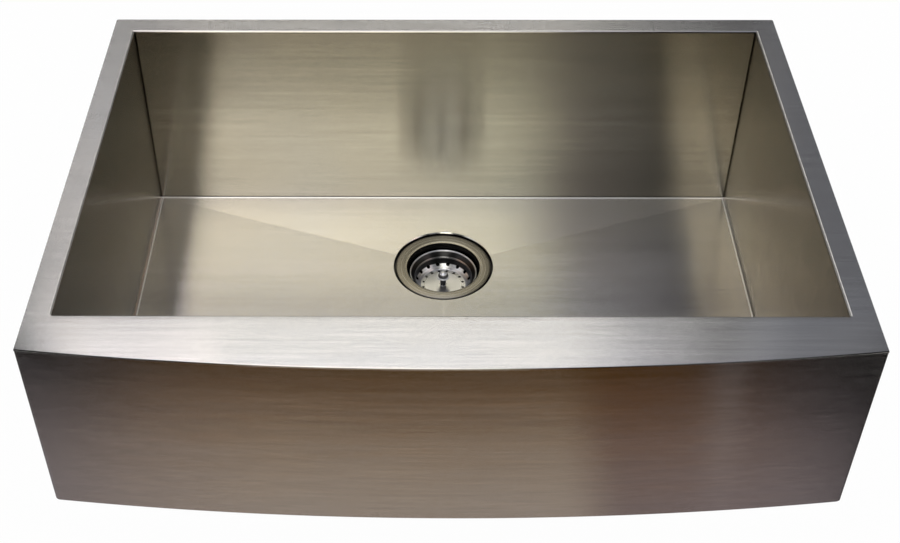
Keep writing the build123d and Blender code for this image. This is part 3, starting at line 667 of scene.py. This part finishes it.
def addApron():
    apron = {
        "sheet": 1.5 * mm, "corner": 4.0 * mm, "endRound": 1.2 * mm, "edge": 0.5 * mm, "seam": 0.15 * mm,
        "columns": 128, "cornerColumns": 4, "roundSteps": 7, "edgeSteps": 3,
    }
    sheet, corner, endRound, seam = apron["sheet"], apron["corner"], apron["endRound"], apron["seam"]
    hair = 0.01 * mm  # the least thickness where the sheet runs out at its ends
    bottom, top = apronLow[2], apronHigh[2]

    def footZ(x):
        beyond = abs(x) - (halfWidth - corner)
        return bottom if beyond <= 0 else bottom + corner - math.sqrt(max(corner ** 2 - beyond ** 2, 0.0))

    # the bowed line from its rounded left end across, and then its right end as the left one's mirror image
    roundX = halfWidth - endRound
    roundY = bowY(roundX, endRound)
    roundTurn = math.pi / 2 - math.asin(roundX / (bowRadius - endRound))
    turns = [roundTurn * k / apron["roundSteps"] for k in range(apron["roundSteps"] + 1)]
    path = [(-(roundX + endRound * math.cos(a)), roundY - endRound * math.sin(a)) for a in turns]
    start = halfWidth - corner
    steps = [(k + 1) / apron["cornerColumns"] for k in range(apron["cornerColumns"])]
    bowed = [-(roundX - (roundX - start) * t) for t in steps]
    bowed += [-start + 2 * start * i / apron["columns"] for i in range(1, apron["columns"])]
    path += [(x, bowY(x)) for x in bowed]
    path += [(-x, y) for x, y in reversed(path) if x < -start + 1e-9]

    edgeTurns = quarterTurn(apron["edgeSteps"])
    loops = []
    for x, y in path:
        backY, low = bowY(x, sheet), footZ(x)
        thickness = abs(backY - y)
        edge = apron["edge"] if thickness > 1.1 * apron["edge"] else thickness * 0.4
        loop = [(x, y + seam, top), (x, y, top - seam)]
        loop += [(x, y + edge * (1 - math.cos(a)), low + edge * (1 - math.sin(a))) for a in edgeTurns]
        loop += [(x, max(backY, y + edge + hair), low), (x, max(backY, y + seam + hair), top)]
        loops.append(loop)
    addPiece("apronFront", "apron_panel", *loft(loops))


addFrontDeck()
addApron()
print("stage: deck and apron")


def turned(profile, steps, thread=None):
    # a closed outline of radius and height turned round the drain's axis; thread says how deep a row is cut
    verts, faces = [], []
    for radius, height in profile:
        cut = thread(radius, height) if thread else None
        for k in range(steps):
            a, r = 2 * math.pi * k / steps, radius
            if cut:
                depth, pitch = cut
                r -= depth * abs(2 * ((height / pitch + k / steps) % 1.0) - 1)
            verts.append((r * math.cos(a), drainY + r * math.sin(a), height))
    for i in range(len(profile)):
        low, high = i * steps, (i + 1) % len(profile) * steps
        for k in range(steps):
            n = (k + 1) % steps
            faces.append((low + k, low + n, high + n, high + k))
    return verts, faces


def below(radius, drop):
    # a point of a turned outline in millimetres: radius, and depth under the flange's top
    return (radius * mm, flangeTop - drop * mm)


def sized(sizes):
    # arc sizes in millimetres for the inner corners of an outline, in order
    return {i + 1: size * mm for i, size in enumerate(sizes)}


def addStrainerBody():
    body = {
        "flange": 57.15, "flangeSheet": 1.2, "flangeDish": 0.9, "lipStart": 46.2,
        "inside": 42.8, "outside": 44.0, "straight": 32.0, "seatRadius": 30.0, "seat": 37.0,
        "bore": 20.7, "spud": 23.7, "spudEnd": 61.0,
        "bodyThread": {"from": 10.0, "to": 29.0, "depth": 0.55, "pitch": 1.6},
        "spudThread": {"from": 41.0, "to": 59.5, "depth": 0.75, "pitch": 2.2},
        "threadPoints": 6, "threadEnd": 0.2, "turns": 144,
    }
    flange, dish, sheet = body["flange"], body["flangeDish"], body["flangeSheet"]
    inside, outside, straight = body["inside"], body["outside"], body["straight"]
    lipStart, seatRadius, seat = body["lipStart"], body["seatRadius"], body["seat"]
    bore, spud, spudEnd = body["bore"], body["spud"], body["spudEnd"]

    inner = softened([
        below(flange - 0.6, 0.0), below(lipStart, dish), below(inside, dish), below(inside, straight),
        below(seatRadius, seat), below(bore, seat), below(bore, spudEnd)],
        sized([3.4, 2.6, 2.5, 1.5, 0.5]), 6)

    def threaded(radius, spec):
        rows = int((spec["to"] - spec["from"]) / spec["pitch"] * body["threadPoints"])
        return [below(radius, spec["to"] - (spec["to"] - spec["from"]) * i / rows) for i in range(rows + 1)]

    # up the outside: spud, seat, the cup's heel and wall, and the flange's underside and edge
    outer = [below(bore + 0.5, spudEnd), below(spud - 0.7, spudEnd), below(spud, spudEnd - 0.8)]
    outer += threaded(spud, body["spudThread"])
    outer += [below(spud, seat + sheet + 0.1), below(seatRadius, seat + sheet),
              below(outside - 0.8, straight + 0.9), below(outside, straight - 0.4)]
    outer += threaded(outside, body["bodyThread"])
    outer += [below(outside, 5.6), below(outside + 0.7, 3.4), below(lipStart, dish + sheet),
              below(flange - 0.2, sheet), below(flange, 0.95), below(flange, 0.45), below(flange - 0.2, 0.12)]

    def thread(radius, height):
        drop, end = (flangeTop - height) / mm, body["threadEnd"]
        for spec, size in ((body["spudThread"], spud), (body["bodyThread"], outside)):
            if abs(radius / mm - size) < 0.01 and spec["from"] + end < drop < spec["to"] - end:
                return spec["depth"] * mm, spec["pitch"] * mm
        return None

    addPiece("strainerBody", "strainer_body", *turned(inner + outer, body["turns"], thread))


def addBasket():
    cup = {  # corners of the cup's inside are radius and depth under the flange's top, in millimetres
        "rim": (39.3, 9.5), "step": (33.4, 16.5), "wall": (32.9, 24.2), "ledge": (28.9, 27.6),
        "floor": (28.0, 29.3), "sheet": 0.8, "bead": 0.9, "beadTurn": 1.35, "beadSteps": 12,
        "postHole": 3.5, "turns": 160, "sharpDeg": 40, "holes": 16, "holeSides": 20,
        "floorHole": {"radius": 1.6, "ring": 24.2, "cut": 3.0},
        "wallHole": {"radius": 2.4, "ring": 31.9, "drop": 24.9, "cut": 7.0},
    }
    sheet, postHole, floorDrop = cup["sheet"], cup["postHole"], cup["floor"][1]

    def corner(name, outwards=0.0, down=0.0):
        radius, drop = cup[name]
        return below(radius + outwards, drop + down)

    inner = softened([
        below(postHole, floorDrop), corner("floor", -0.6), corner("ledge"), corner("wall"), corner("step"),
        corner("rim", -0.7, 0.1)], sized([1.0, 0.8, 1.6, 1.4]))
    size, steps = cup["bead"], cup["beadSteps"]
    beadTurns = [math.pi * (1.0 - cup["beadTurn"] * k / steps) for k in range(steps + 1)]
    bead = [corner("rim", sheet / 2 + size * math.cos(a), -size * math.sin(a)) for a in beadTurns]
    outer = softened([
        corner("rim", 0.35, 1.05), corner("step", sheet, 0.4), corner("wall", sheet, 0.4),
        corner("ledge", 0.4, sheet), corner("floor", 0.2, sheet), below(postHole, floorDrop + sheet)],
        sized([1.2, 1.4, 0.8, 0.8]))
    verts, faces = turned(inner + bead + outer, cup["turns"])
    obj = addPiece("basketCup", "basket_cup", verts, faces, cup["sharpDeg"])

    # a row of small holes through the floor and a row of large ones through the sloping wall
    cutters = bmesh.new()
    down = Vector((0.0, 0.0, -1.0))
    axisPoint = Vector((0.0, drainY, flangeTop))
    small, large = cup["floorHole"], cup["wallHole"]
    for i in range(cup["holes"]):
        a = 2 * math.pi * (i + 0.5) / cup["holes"]
        outward = Vector((math.cos(a), math.sin(a), 0.0))
        for hole, drop, aim in (
                (small, floorDrop + sheet / 2, down),
                (large, large["drop"], (outward + down).normalized())):
            middle = axisPoint + outward * hole["ring"] * mm + down * drop * mm
            turn = Vector((0, 0, 1)).rotation_difference(aim).to_matrix().to_4x4()
            radius = hole["radius"] * mm
            bmesh.ops.create_cone(cutters, cap_ends=True, segments=cup["holeSides"],
                                  radius1=radius, radius2=radius, depth=hole["cut"] * mm,
                                  matrix=Matrix.Translation(middle) @ turn)
    cutMesh = bpy.data.meshes.new("basketHoles")
    cutters.to_mesh(cutMesh)
    cutters.free()
    cutObj = bpy.data.objects.new("basketHoles", cutMesh)
    scene.collection.objects.link(cutObj)
    cut = obj.modifiers.new("holes", "BOOLEAN")
    cut.object, cut.operation, cut.solver = cutObj, "DIFFERENCE", "EXACT"
    bpy.context.view_layer.update()
    done = bpy.data.meshes.new_from_object(obj.evaluated_get(bpy.context.evaluated_depsgraph_get()))
    obj.modifiers.clear()
    obj.data = done
    smoothMesh(done, cup["sharpDeg"])
    bpy.data.objects.remove(cutObj)


def addRings():
    rings = {
        "sink_gasket": {"name": "sinkGasket", "bore": 44.3, "edge": 0.8, "turns": 120},
        "friction_washer": {"name": "frictionWasher", "bore": 44.3, "edge": 0.25, "turns": 120},
        "stopper_washer": {"name": "stopperWasher", "bore": 2.9, "edge": 0.2, "turns": 72},
    }
    for node, ring in rings.items():
        low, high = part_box(node)
        inside, outside, edge = ring["bore"] * mm, high[0], ring["edge"] * mm
        bottom, top = low[2], high[2]
        middle = (bottom + top) / 2
        corners = [(inside, middle), (inside, top), (outside, top), (outside, bottom), (inside, bottom),
                   (inside, middle - 1e-5)]
        line = softened(corners, {1: edge / 2, 2: edge, 3: edge, 4: edge / 2}, 4)
        addPiece(ring["name"], node, *turned(line, ring["turns"]))


def addLocknut():
    nut = {
        "lugs": 8, "lugWidth": 14.0, "lugReach": 54.0, "lugEase": 1.5, "heelEase": 1.0,
        "round": 50.0, "roundSteps": 7, "bore": 44.1, "edge": 0.9,
    }
    low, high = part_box("locknut")
    half, edge, size, steps = nut["lugWidth"] / 2, nut["edge"], nut["round"], nut["roundSteps"]
    heel = math.sqrt(size ** 2 - half ** 2)
    lug = [(heel - 2, -half - 1.2), (heel, -half), (nut["lugReach"], -half)]
    lug += [(x, -y) for x, y in reversed(lug)]
    ease = {1: nut["heelEase"], 2: nut["lugEase"], 3: nut["lugEase"], 4: nut["heelEase"]}
    corners = softened(lug, ease, 3)[1:-1]
    outline = []
    for i in range(nut["lugs"]):
        turn = 2 * math.pi * i / nut["lugs"]
        across, up = math.cos(turn), math.sin(turn)
        outline += [(x * across - y * up, x * up + y * across) for x, y in corners]
        first = turn + math.asin(half / size)
        last = turn + 2 * math.pi / nut["lugs"] - math.asin(half / size)
        turns = [first + (last - first) * k / steps for k in range(1, steps)]
        outline += [(size * math.cos(a), size * math.sin(a)) for a in turns]

    def level(z, radiusAt):
        # the outline at one height, each point moved to the radius that radiusAt gives for its own
        points = [(x, y, math.hypot(x, y)) for x, y in outline]
        return [(x * radiusAt(r) / r * mm, drainY + y * radiusAt(r) / r * mm, z) for x, y, r in points]

    verts = level(high[2], lambda r: r - edge) + level(high[2] - edge * mm, lambda r: r)
    verts += level(low[2] + edge * mm, lambda r: r) + level(low[2], lambda r: r - edge)
    verts += level(low[2], lambda r: nut["bore"]) + level(high[2], lambda r: nut["bore"])
    count = len(outline)
    levels = len(verts) // count
    faces = []
    for i in range(levels):
        here, ahead = i * count, (i + 1) % levels * count
        for k in range(count):
            n = (k + 1) % count
            faces.append((here + k, here + n, ahead + n, ahead + k))
    addPiece("lockNut", "locknut", verts, faces)


addStrainerBody()
addBasket()
addRings()
addLocknut()
print("stage: strainer")


def addStageMesh(name, verts, faces):
    mesh = bpy.data.meshes.new(name)
    mesh.from_pydata(verts, [], faces)
    obj = bpy.data.objects.new(name, mesh)
    scene.collection.objects.link(obj)
    return obj


def addSheet(name, half, near, far, z):
    corners = [(-half, near, z), (half, near, z), (half, far, z), (-half, far, z)]
    return addStageMesh(name, corners, [(0, 1, 2, 3)])


def lightOnly(obj, name, build):
    # seen in reflections, and by nothing else, with the light that build works out
    obj.visible_camera = False
    obj.visible_diffuse = False
    obj.visible_shadow = False
    obj.visible_transmission = False
    obj.visible_volume_scatter = False
    s = Shader(name)
    s.tree.nodes.remove(s.surface)
    s.put(s.out, "Surface", s.add("Emission", {"Color": build(s)}))
    obj.data.materials.append(s.mat)


def panelLight(s, panels, run, side, leanFrom):
    # the sum of soft-edged panels, each a range of two measures and the light that it gives;
    # lean slants a panel sideways along its run
    total = None
    for panel in panels.values():
        inside = 1.0
        slanted = s.maths("MULTIPLY_ADD", s.maths("SUBTRACT", run, leanFrom), panel.get("lean", 0.0), side)
        for value, measure in ((run, "run"), (slanted, "side")):
            for at, soft, ends in zip(panel[measure], panel[measure + "Soft"], ((0.0, 1.0), (1.0, 0.0))):
                inputs = {"Value": value, "From Min": at - soft / 2, "From Max": at + soft / 2,
                          "To Min": ends[0], "To Max": ends[1]}
                edge = s.add("MapRange", inputs, interpolation_type="SMOOTHSTEP")
                inside = s.maths("MULTIPLY", edge.outputs[0], inside)
        light = s.scaled(panel["light"], inside)
        total = light if total is None else s.vector("ADD", total, light)
    return total


def addSurround():
    # soft boxes on a far curved wall: run is the angle over the sink in degrees, from 0 at the front horizon
    # to 90 straight up, and side is how far off they stand over the wall's radius
    surround = {
        "radius": 9.0, "halfLength": 27.0, "fromDeg": -8, "toDeg": 188, "steps": 90, "leanFrom": 50,
        "panels": {
            "overFront": {"run": (26.5, 79), "runSoft": (5, 9), "side": (-0.229, 0.094),
                          "sideSoft": (0.045, 0.03), "lean": 0.0012, "light": (1.40, 1.43, 1.15)},
            "warmFront": {"run": (26.5, 93), "runSoft": (5, 16), "side": (-0.229, 0.026),
                          "sideSoft": (0.045, 0.39), "lean": 0.0012, "light": (1.16, 0.98, 1.04)},
            "overhead": {"run": (80, 117), "runSoft": (5, 5), "side": (-0.332, 0.255),
                         "sideSoft": (0.05, 0.20), "lean": 0.0002, "light": (1.18, 1.16, 1.28)},
            "leftPanel": {"run": (100, 128), "runSoft": (5, 6), "side": (-0.336, -0.192),
                          "sideSoft": (0.046, 0.03), "lean": -0.0001, "light": (0.70, 0.57, 0.50)},
            "rightFade": {"run": (54, 150), "runSoft": (17, 6), "side": (0.228, 0.38),
                          "sideSoft": (0.04, 0.12), "lean": -0.0006, "light": (0.26, 0.27, 0.31)},
            "backBand": {"run": (129.5, 139.5), "runSoft": (4, 4), "side": (-0.384, 0.254),
                         "sideSoft": (0.06, 0.14), "lean": -0.0001, "light": (1.56, 1.57, 1.61)},
            "backLow": {"run": (129.5, 140.5), "runSoft": (4, 4), "side": (-0.207, 0.15),
                        "sideSoft": (0.09, 0.10), "light": (1.15, 1.05, 0.84)},
            "middle": {"run": (82, 139.5), "runSoft": (6, 4), "side": (-0.312, 0.176),
                       "sideSoft": (0.10, 0.115), "lean": 0.0003, "light": (0.40, 0.43, 0.48)},
            "farRight": {"run": (-20, 60), "runSoft": (10, 15), "side": (0.955, 9.0),
                         "sideSoft": (0.27, 0.3), "light": (2.8, 1.7, 1.4)},
            # further fill, which the camera's view hardly mirrors and other views do
            "leftRoom": {"run": (-20, 200), "runSoft": (1, 1), "side": (-9.0, -0.66),
                         "sideSoft": (0.3, 0.24), "light": (0.42, 0.42, 0.42)},
            "leftBox": {"run": (48, 122), "runSoft": (24, 24), "side": (-2.4, -0.72),
                        "sideSoft": (0.6, 0.2), "light": (0.45, 0.45, 0.45)},
            "rightRoom": {"run": (-20, 200), "runSoft": (1, 1), "side": (0.66, 9.0),
                          "sideSoft": (0.24, 0.3), "light": (0.42, 0.42, 0.42)},
            "rightBox": {"run": (48, 122), "runSoft": (24, 24), "side": (0.72, 2.4),
                         "sideSoft": (0.2, 0.6), "light": (0.45, 0.45, 0.45)},
            "backRoom": {"run": (166, 200), "runSoft": (6, 1), "side": (-0.9, 0.9),
                         "sideSoft": (0.3, 0.3), "light": (0.4, 0.4, 0.4)},
        },
    }
    radius, half, steps = surround["radius"], surround["halfLength"], surround["steps"]
    verts = []
    for i in range(steps + 1):
        a = math.radians(surround["fromDeg"] + (surround["toDeg"] - surround["fromDeg"]) * i / steps)
        verts += [(x, -radius * math.cos(a), radius * math.sin(a)) for x in (-half, half)]
    faces = [(2 * i, 2 * i + 1, 2 * i + 3, 2 * i + 2) for i in range(steps)]

    def paint(s):
        x, y, z = s.split(s.add("NewGeometry").outputs["Position"])
        angle = s.maths("DEGREES", s.maths("ARCTAN2", z, s.maths("MULTIPLY", y, -1.0)))
        return panelLight(s, surround["panels"], angle, s.maths("DIVIDE", x, radius), surround["leanFrom"])

    lightOnly(addStageMesh("surround", verts, faces), "surroundGlow", paint)


def addFrontPaper():
    # a pale sheet low in front of the sink, brighter near it than further off, as the apron mirrors it;
    # run is y, which is below 0 in front, and side is x, in metres
    paper = {
        "z": -0.86, "from": -9.0, "to": -0.45, "half": 1.8, "leanFrom": -0.54,
        "panels": {
            "near": {"run": (-0.90, 0.5), "runSoft": (0.27, 0.2), "side": (-0.93, 0.73),
                     "sideSoft": (0.37, 0.38), "light": (0.35, 0.31, 0.34)},
            "middle": {"run": (-1.03, -0.49), "runSoft": (0.25, 0.32), "side": (-0.52, 0.26),
                       "sideSoft": (0.65, 0.12), "light": (0.25, 0.23, 0.17)},
            "far": {"run": (-12.0, -0.78), "runSoft": (1.0, 0.82), "side": (-0.67, 0.65),
                    "sideSoft": (0.34, 0.35), "light": (0.10, 0.04, 0.0)},
            "strip": {"run": (-9.5, -1.0), "runSoft": (0.5, 0.5), "side": (0.31, 0.37),
                      "sideSoft": (0.04, 0.04), "lean": 0.36, "light": (0.085, 0.09, 0.10)},
        },
    }

    def paint(s):
        x, y, _ = s.split(s.add("NewGeometry").outputs["Position"])
        return panelLight(s, paper["panels"], y, x, paper["leanFrom"])

    sheet = addSheet("frontPaper", paper["half"], paper["from"], paper["to"], paper["z"])
    lightOnly(sheet, "paperGlow", paint)


def addFloor():
    floor = {"z": -0.88, "half": 14.0, "tone": (0.95, 0.95, 0.95), "glow": 0.93}
    sheet = addSheet("floor", floor["half"], -floor["half"], floor["half"], floor["z"])
    s = Shader("paleFloor")
    s.tree.nodes.remove(s.surface)
    # white for the camera, mirrors and clear things, and matt for the light that falls on the object
    path = s.add("LightPath").outputs
    seen = s.maths("MAXIMUM", path["Is Camera Ray"], path["Is Glossy Ray"])
    seen = s.maths("MAXIMUM", seen, path["Is Transmission Ray"])
    matt = s.add("BsdfDiffuse", {"Color": rgba(floor["tone"])})
    white = s.add("Emission", {"Strength": 1.0})
    share = s.maths("MULTIPLY", seen, floor["glow"])
    s.put(s.out, "Surface", s.add("MixShader", {0: share, 1: matt, 2: white}))
    sheet.data.materials.append(s.mat)


def addWorld():
    sky = {"seen": 1.0, "light": 0.95}
    world = bpy.data.worlds.new("studio")
    scene.world = world
    world.use_nodes = True
    tree = world.node_tree
    path = tree.nodes.new("ShaderNodeLightPath")
    first, second = (tree.nodes.new("ShaderNodeMath") for _ in range(2))
    first.operation = second.operation = "MAXIMUM"
    level = tree.nodes.new("ShaderNodeMapRange")
    tree.links.new(path.outputs["Is Camera Ray"], first.inputs[0])
    tree.links.new(path.outputs["Is Glossy Ray"], first.inputs[1])
    tree.links.new(first.outputs[0], second.inputs[0])
    tree.links.new(path.outputs["Is Transmission Ray"], second.inputs[1])
    tree.links.new(second.outputs[0], level.inputs["Value"])
    level.inputs["To Min"].default_value = sky["light"]
    level.inputs["To Max"].default_value = sky["seen"]
    back = tree.nodes["Background"]
    back.inputs["Color"].default_value = (1, 1, 1, 1)
    tree.links.new(level.outputs[0], back.inputs["Strength"])


addSurround()
addFrontPaper()
addFloor()
addWorld()
scene.view_settings.view_transform = "Standard"
print("stage: light")
